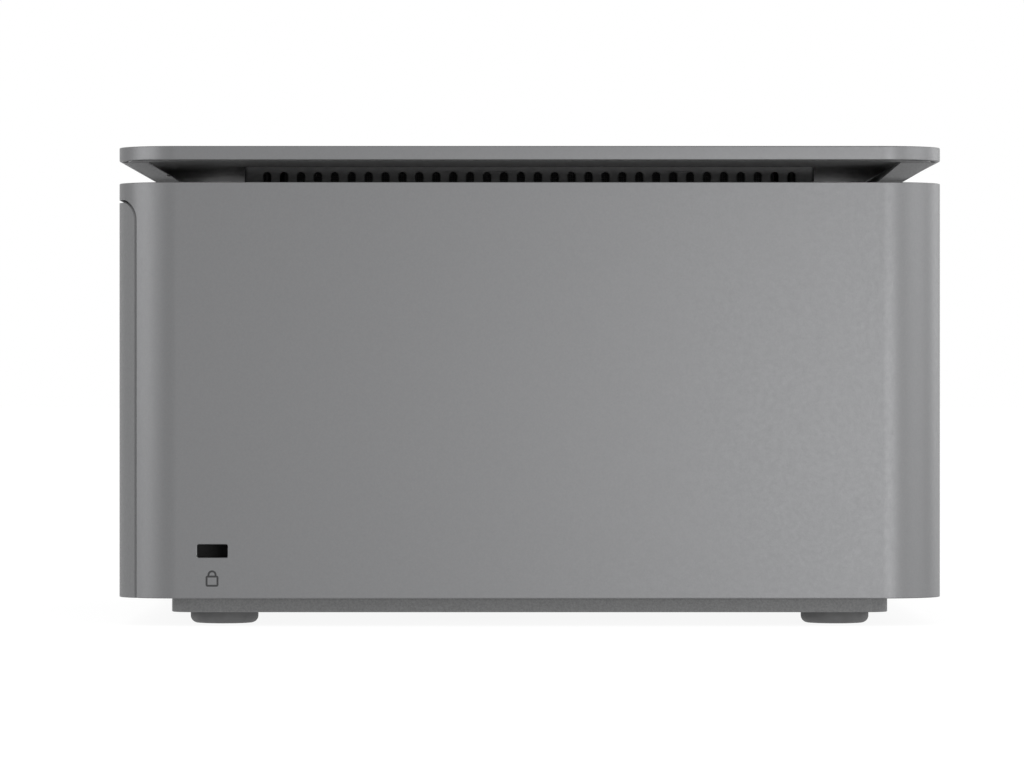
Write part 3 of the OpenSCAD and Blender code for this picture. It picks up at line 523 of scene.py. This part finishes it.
def turn_angles(count):
    """Angles evenly spaced round a full turn, in radians."""
    return [2 * math.pi * k / count for k in range(count)]


def lathe(bm, profile, place, count, look=0):
    """A profile of (radius, height) turned about the local Z axis; it starts and ends close to the axis."""
    stack(bm, [[place @ Vector((r * math.cos(a), r * math.sin(a), z)) for a in turn_angles(count)]
               for r, z in profile], look)


def rounded(r, z, radius, start, end, steps):
    """Points of an arc in a flat outline, centred on (r, z), between two angles in degrees."""
    angles = [math.radians(start + (end - start) * i / steps) for i in range(steps + 1)]
    return [(r + radius * math.cos(a), z + radius * math.sin(a)) for a in angles]


def chip(bm, centre, size, edge=0.08, look=0, turn=0.0):
    """A block with bevelled upper edges, its base centred on a point."""
    spin = Matrix.Rotation(turn, 3, "Z")
    w, d, h = size[0] / 2, size[1] / 2, size[2]
    levels = [(w, d, 0), (w, d, h - edge), (w - edge * 0.35, d - edge * 0.35, h - edge * 0.3),
              (w - edge, d - edge, h)]
    corners = ((-1, -1), (1, -1), (1, 1), (-1, 1))
    stack(bm, [[Vector(centre) + spin @ Vector((sx * x, sy * y, z)) for sx, sy in corners]
               for x, y, z in levels], look)


def tube(bm, path, radius, sides):
    """A round wire along a list of points, with flat ends."""
    points = [Vector(p) for p in path]
    side = (points[1] - points[0]).orthogonal().normalized()
    loops = []
    for i, point in enumerate(points):
        ahead = (points[min(i + 1, len(points) - 1)] - points[max(i - 1, 0)]).normalized()
        side = (side - ahead * side.dot(ahead)).normalized()
        other = ahead.cross(side)
        loops.append([point + radius * (math.cos(a) * side + math.sin(a) * other)
                      for a in turn_angles(sides)])
    stack(bm, loops)


# ---------------------------------------------------------------- feet

def make_feet():
    """Moulded feet with a rounded lower edge and a shallow dished sole."""
    for i, (low, high) in enumerate(solids("rubber_feet")):
        centre, r = (low + high) / 2 / MM, (high.x - low.x) / 2 / MM
        height, edge = (high.z - low.z) / MM, 1.7
        profile = [(0.01, 0.35), (r - 3.6, 0.35), (r - 3.2, 0.22), (r - 2.9, 0.03), (r - 2.6, 0.0)]
        profile += rounded(r - edge, edge, edge, -90, 0, 8)
        profile += [(r, height - 0.1), (r - 0.1, height), (0.01, height)]
        bm = bmesh.new()
        lathe(bm, profile, Matrix.Translation((centre.x, centre.y, low.z / MM)), 72)
        foot = finish_mesh(f"foot_{i}", bm, "chassis", ["rubber"])
        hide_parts("rubber_feet")
        weighted(foot)


# ---------------------------------------------------------------- padlock symbol

def stroke(bm, path, width, height, place, closed=False):
    """A flat printed line of even width along a 2-D path."""
    points = [Vector(p) for p in path]
    count = len(points)
    left, right = [], []
    for i, p in enumerate(points):
        if closed:
            a, b = points[i - 1], points[(i + 1) % count]
        else:
            a, b = points[max(i - 1, 0)], points[min(i + 1, count - 1)]
        along = (b - a).normalized()
        across = Vector((-along.y, along.x)) * width / 2
        left.append(p + across)
        right.append(p - across)
    loops = []
    for side, lift in ((left, 0), (left, height), (right, height), (right, 0)):
        loops.append([bm.verts.new(place @ Vector((q.x, q.y, lift))) for q in side])
    last = count if closed else count - 1
    for k in range(4):
        a, b = loops[k], loops[(k + 1) % 4]
        for i in range(last):
            j = (i + 1) % count
            bm.faces.new((a[i], a[j], b[j], b[i]))
    if not closed:
        for i in (0, count - 1):
            bm.faces.new([loop[i] for loop in loops])


def make_padlock():
    """The small symbol printed under the lock slot."""
    slot_y = middle("lock_bracket").y / MM
    face_x = corner("outer_shell", 0).x / MM
    body_low = corner("outer_shell", 0).z / MM + 2.72
    body_w, body_h, line, r = 2.95, 2.55, 0.44, 0.24
    bow_w, bow_h = 2.06, 1.2
    # Local X runs along the shell, local Y runs up and local Z points out of the left side
    place = Matrix.Translation((face_x - 0.002, slot_y + 0.08, body_low)) @ Matrix(
        ((0, 0, -1, 0), (-1, 0, 0, 0), (0, 1, 0, 0), (0, 0, 0, 1)))
    w, h = (body_w - line) / 2, body_h - line
    outline = []
    for cx, cy, start in ((w - r, h - r, 0), (-w + r, h - r, 90), (-w + r, r, 180), (w - r, r, 270)):
        outline += rounded(cx, line / 2 + cy, r, start, start + 90, 6)
    bow_r = (bow_w - line) / 2
    top = body_h + bow_h - line / 2
    bow = [(bow_r, body_h - line / 2)]
    bow += rounded(0, top - bow_r, bow_r, 0, 180, 15)
    bow += [(-bow_r, body_h - line / 2)]
    bm = bmesh.new()
    stroke(bm, outline, line, 0.022, place, closed=True)
    stroke(bm, bow, line, 0.020, place)
    finish_mesh("padlock_symbol", bm, "cover", ["ink"], smooth=False)


# ---------------------------------------------------------------- fans

def blade(bm, root, tip, low, high, turn, place, reach):
    """One curved, tapered blade: it wraps round the hub as it rises and leans forward towards its tip."""
    rows, cols, thick, sweep = 9, 8, 1.1, 0.3
    mid = []
    for i in range(rows):
        u = i / (rows - 1)
        radius = root + (tip - root) * u
        wrap = reach * (root / radius) ** 0.55
        line = []
        for k in range(cols):
            v = k / (cols - 1)
            angle = turn + sweep * u * u + wrap * (v - 0.5)
            rise = low + (high - low) * (v + 0.10 * math.sin(math.pi * v))
            line.append(Vector((radius * math.cos(angle), radius * math.sin(angle), min(rise, high))))
        mid.append(line)
    sides = []
    for sign in (1, -1):
        grid = []
        for i in range(rows):
            line = []
            for k in range(cols):
                du = mid[min(i + 1, rows - 1)][k] - mid[max(i - 1, 0)][k]
                dv = mid[i][min(k + 1, cols - 1)] - mid[i][max(k - 1, 0)]
                normal = du.cross(dv).normalized()
                edge = 0.35 + 0.65 * math.sin(math.pi * (0.12 + 0.76 * k / (cols - 1)))
                line.append(bm.verts.new(place @ (mid[i][k] + sign * normal * thick / 2 * edge)))
            grid.append(line)
        sides.append(grid)
    for grid in sides:
        for i in range(rows - 1):
            for k in range(cols - 1):
                bm.faces.new((grid[i][k], grid[i + 1][k], grid[i + 1][k + 1], grid[i][k + 1]))
    a, b = sides
    border = [(i, 0) for i in range(rows)] + [(rows - 1, k) for k in range(1, cols)]
    border += [(i, cols - 1) for i in range(rows - 2, -1, -1)] + [(0, k) for k in range(cols - 2, 0, -1)]
    for n, (i, k) in enumerate(border):
        p, q = border[(n + 1) % len(border)]
        bm.faces.new((a[i][k], a[p][q], b[p][q], b[i][k]))


def make_rotor(node, side, depth, count, place):
    """A fan rotor: a rounded hub with a recessed disc and curved blades. The local Z axis is the fan's."""
    hub, tip, low, top = side * 0.2, side / 2 - 3.2, 3.2, depth - 1.4
    bm = bmesh.new()
    profile = [(0.01, top - 1.7), (hub - 3.4, top - 1.7), (hub - 3.4, low), (hub - 0.2, low),
               (hub, low + 0.2)]
    profile += rounded(hub - 1.5, top - 1.5, 1.5, 0, 90, 6)
    profile += [(hub - 3.2, top), (hub - 3.5, top - 0.25), (0.01, top - 0.25)]
    lathe(bm, profile, place, 64)
    disc = [(0.01, top - 0.24), (hub - 3.8, top - 0.24), (hub - 3.9, top - 0.2), (hub - 4.0, top - 0.17),
            (0.01, top - 0.17)]
    lathe(bm, disc, place, 64, 1)
    lathe(bm, [(0.01, 1.0), (1.5, 1.0), (1.5, top - 1.0), (0.01, top - 1.0)], place, 24, 2)
    for i in range(count):
        blade(bm, hub - 0.5, tip, low + 0.4, top - 0.5, 2 * math.pi * i / count, place, 7.4 / count)
    rotor = finish_mesh(node + "_curved", bm, node, ["fan", "tin", "nickel"])
    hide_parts(node)
    weighted(rotor)


def make_fans():
    low, high = box_mm("cpu_fan_frame")
    place = Matrix.Translation(((low.x + high.x) / 2, (low.y + high.y) / 2, low.z))
    make_rotor("cpu_fan_rotor", high.x - low.x, high.z - low.z, 9, place)
    low, high = box_mm("rear_fan_frame")
    place = Matrix.Translation(((low.x + high.x) / 2, high.y, (low.z + high.z) / 2)) @ Matrix.Rotation(
        math.radians(90), 4, "X")
    make_rotor("rear_fan_rotor", high.x - low.x, high.y - low.y, 7, place)


# ---------------------------------------------------------------- button spring

def make_spring():
    """A coil round the button's stem, between its flange and the guide bracket."""
    button_front, bracket_rear = box_mm("power_button")[0].y, box_mm("button_bracket")[1].y
    centre = middle("power_button") / MM
    wire, radius, turns, gap = 0.3, 2.9, 4.5, 0.02
    flange, plate, travel = 2.9, 1.5, 0.5
    start = button_front + flange + wire + gap
    end = bracket_rear - plate - wire - gap
    steps = int(turns * 22)
    path = []
    for i in range(steps + 1):
        t = i / steps
        # The first and last 0.4 of a turn lie flat
        ease = min(1, max(0, (t - 0.09) / 0.82))
        a = 2 * math.pi * turns * t
        path.append((centre.x + radius * math.cos(a), start + (end - start) * ease,
                     centre.z + radius * math.sin(a)))
    bm = bmesh.new()
    tube(bm, path, wire, 10)
    coil = finish_mesh("button_coil", bm, "cover", ["spring"])
    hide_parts("button_spring")
    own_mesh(coil)


# ---------------------------------------------------------------- board parts

def blocked_areas(board):
    """Rectangles on a board's top that other pieces stand on or hang low over."""
    top = corner(board, 1).z / MM
    grow, headroom = 0.7, 1.5
    areas = []
    for name, obj in nodes.items():
        if name in (board, "outer_shell", "fin_stack", "heat_pipes", "antenna_leads", "cpu_fan_lead",
                    "rear_fan_lead", "top_deck", "lid_tray"):
            continue
        low, high = box_mm(name)
        if low.z < top + headroom and high.z > top + 0.05:
            for a, b in solids(name):
                if a.z / MM < top + headroom and b.z / MM > top + 0.05:
                    areas.append((a.x / MM - grow, a.y / MM - grow, b.x / MM + grow, b.y / MM + grow))
    return areas


def free(area, areas):
    return all(area[2] < b[0] or area[0] > b[2] or area[3] < b[1] or area[1] > b[3] for b in areas)


def make_board_parts(board, chips, passives, inset):
    """Chips of (width, depth, height, legs) and rows of small two-ended parts, wherever a board is free."""
    low, high = box_mm(board)
    areas = blocked_areas(board)
    bodies, ends = bmesh.new(), bmesh.new()

    def find_place(w, d, tries=60):
        for _ in range(tries):
            x = rng.uniform(low.x + inset + w / 2, high.x - inset - w / 2)
            y = rng.uniform(low.y + inset + d / 2, high.y - inset - d / 2)
            area = (x - w / 2 - 0.35, y - d / 2 - 0.35, x + w / 2 + 0.35, y + d / 2 + 0.35)
            if free(area, areas):
                areas.append(area)
                return x, y
        return None

    for w, d, h, legs in chips:
        spot = find_place(w + 2.2, d + 0.6)
        if not spot:
            continue
        x, y = spot
        chip(bodies, (x, y, high.z + 0.06), (w, d, h), 0.14, 0)
        lathe(bodies, [(0.01, h - 0.06), (0.3, h - 0.06), (0.34, h + 0.012), (0.01, h + 0.012)],
              Matrix.Translation((x - w / 2 + 0.8, y - d / 2 + 0.8, high.z + 0.06)), 16, 0)
        for i in range(legs):
            at = y - d / 2 + d * (i + 0.5) / legs
            for sign in (-1, 1):
                chip(ends, (x + sign * (w / 2 + 0.35), at, high.z), (0.9, 0.32, 0.22), 0.06, 1)
                chip(ends, (x + sign * (w / 2 + 0.02), at, high.z + 0.2), (0.3, 0.32, h * 0.4), 0.06, 1)
    sizes = [(1.0, 0.5, 0.35), (1.6, 0.8, 0.45), (2.0, 1.25, 0.6), (3.2, 1.6, 0.7)]
    for _ in range(passives):
        length, w, h = sizes[min(3, int(rng.random() ** 1.6 * 4))]
        upright = rng.random() < 0.5
        run = rng.choice((1, 1, 2, 3, 4))
        pitch = w + 0.45
        span = (run * pitch, length) if upright else (length, run * pitch)
        spot = find_place(*span, tries=25)
        if not spot:
            continue
        turn = math.pi / 2 if upright else 0.0
        look = rng.choice((0, 2, 2))
        for k in range(run):
            off = (k - (run - 1) / 2) * pitch
            x, y = (spot[0] + off, spot[1]) if upright else (spot[0], spot[1] + off)
            chip(bodies, (x, y, high.z + 0.02), (length * 0.62, w * 0.96, h * 0.94), 0.05, look, turn)
            for sign in (-1, 1):
                shift = Vector((sign * length * 0.38, 0, 0))
                shift.rotate(Matrix.Rotation(turn, 3, "Z"))
                chip(ends, (x + shift.x, y + shift.y, high.z), (length * 0.24, w, h), 0.05, 1, turn)
    looks = ["epoxy", "tin", "ceramic"]
    finish_mesh(board + "_chips", bodies, "chassis", looks, smooth=False)
    finish_mesh(board + "_solder_ends", ends, "chassis", looks, smooth=False)


def make_all_board_parts():
    chips = [(7, 7, 1.0, 0), (5, 5, 0.9, 0), (5, 6, 1.5, 4), (9, 9, 1.1, 0),
             (4, 5, 1.4, 4), (6, 6, 0.9, 0), (8, 5, 1.2, 6), (4, 4, 0.8, 0),
             (5, 5, 0.9, 0), (10, 8, 1.2, 10), (3, 3, 0.8, 0), (4, 5, 1.4, 4)]
    make_board_parts("motherboard", chips, 210, 3.0)
    make_board_parts("front_io_board", [(4, 4, 0.8, 0), (4, 5, 1.3, 4), (3, 3, 0.8, 0)], 46, 1.6)


# ---------------------------------------------------------------- contacts

def make_contacts():
    """Gold strips on every contact tongue, and the sprung wires of the network socket."""
    bm = bmesh.new()
    for low, high in solids("socket_tongues"):
        low, high = low / MM, high / MM
        size = high - low
        rear = low.y > 0
        if size.x > 8.9 and size.z > 2.0:
            count, width = 8, 0.45
        elif abs(size.z - 1.8) < 0.05:
            count, width = 4, 1.1
        elif size.x < 7:
            count, width = 8, 0.3
        else:
            count, width = 9, 0.4
        mouth = high.y if rear else low.y
        inward = -1 if rear else 1
        for i in range(count):
            x = low.x + size.x * (i + 0.7) / (count + 0.4)
            start = mouth + inward * 0.7
            length = abs(size.y) - 2.2
            chip(bm, (x, start + inward * length / 2, low.z - 0.06), (width, length, 0.1), 0.02)
    finish_mesh("contact_strips", bm, "chassis", ["gold"], smooth=False)


# ---------------------------------------------------------------- stage

def make_stage():
    """A wide pale floor that glows a little from below, like a light table."""
    s = Shader("floor_paint", (0.13, 0.13, 0.13), 0.9, 0.0, Specular_IOR_Level=0.0)
    s.vary_colour(s.noise(6, 2.0), 0.01)
    s.bump(s.noise(900, 2.0), 0.02 * MM, 0.1)
    s.set("Emission Color", (1, 1, 1, 1))
    s.set("Emission Strength", FLOOR_GLOW)
    M["floor"] = s.mat
    bm = bmesh.new()
    last = None
    for r in (0.3, 1.0, 4.0, 12.0):
        circle = [Vector((r * math.cos(a), r * math.sin(a), 0)) for a in turn_angles(64)]
        first = last is None
        last = ring(bm, circle, last)
        if first:
            bm.faces.new(last)
    bmesh.ops.recalc_face_normals(bm, faces=bm.faces)
    mesh = bpy.data.meshes.new("studio_floor")
    bm.to_mesh(mesh)
    bm.free()
    mesh.materials.append(M["floor"])
    floor = bpy.data.objects.new("studio_floor", mesh)
    bpy.context.collection.objects.link(floor)


def soft_light(name, place, aim, size, power):
    data = bpy.data.lights.new(name, "AREA")
    data.shape = "RECTANGLE"
    data.size, data.size_y = size
    data.energy = power
    light = bpy.data.objects.new(name, data)
    light.location = place
    light.rotation_euler = (Vector(aim) - Vector(place)).to_track_quat("-Z", "Y").to_euler()
    bpy.context.collection.objects.link(light)


def make_lights():
    world = bpy.data.worlds.new("studio")
    world.use_nodes = True
    back = world.node_tree.nodes["Background"]
    back.inputs["Color"].default_value = (1, 1, 1, 1)
    back.inputs["Strength"].default_value = 1.0
    bpy.context.scene.world = world
    bpy.context.scene.view_settings.view_transform = "Standard"
    aim = (0, 0, 0.06)
    soft_light("key", (-0.733, -0.23, 0.03), (-0.09, -0.06, 0.05), (0.26, 0.05), 1.4)
    soft_light("rear_side", (-0.456, 0.91, 0.2), aim, (0.8, 0.7), 4.4)
    soft_light("front_side", (-0.398, -0.934, 0.2), aim, (0.8, 0.7), 4.2)
    soft_light("front_far", (0.427, -0.825, 0.2), aim, (0.5, 0.7), 2.4)


def make_camera():
    """The camera looks at the left side, level with the middle of the body."""
    near_face = corner("outer_shell", 0).x
    eye_distance, eye_height, eye_shift = 1.35, 0.0556, 0.0041
    data = bpy.data.cameras.new("camera")
    data.sensor_width = 36
    data.lens = 207
    data.clip_start = 0.01
    camera = bpy.data.objects.new("camera", data)
    camera.location = (near_face - eye_distance, eye_shift, eye_height)
    camera.rotation_euler = (math.radians(90), 0, math.radians(-90))
    bpy.context.collection.objects.link(camera)
    bpy.context.scene.camera = camera


make_feet()
make_padlock()
make_fans()
make_spring()
make_all_board_parts()
make_contacts()
make_stage()
make_lights()
make_camera()
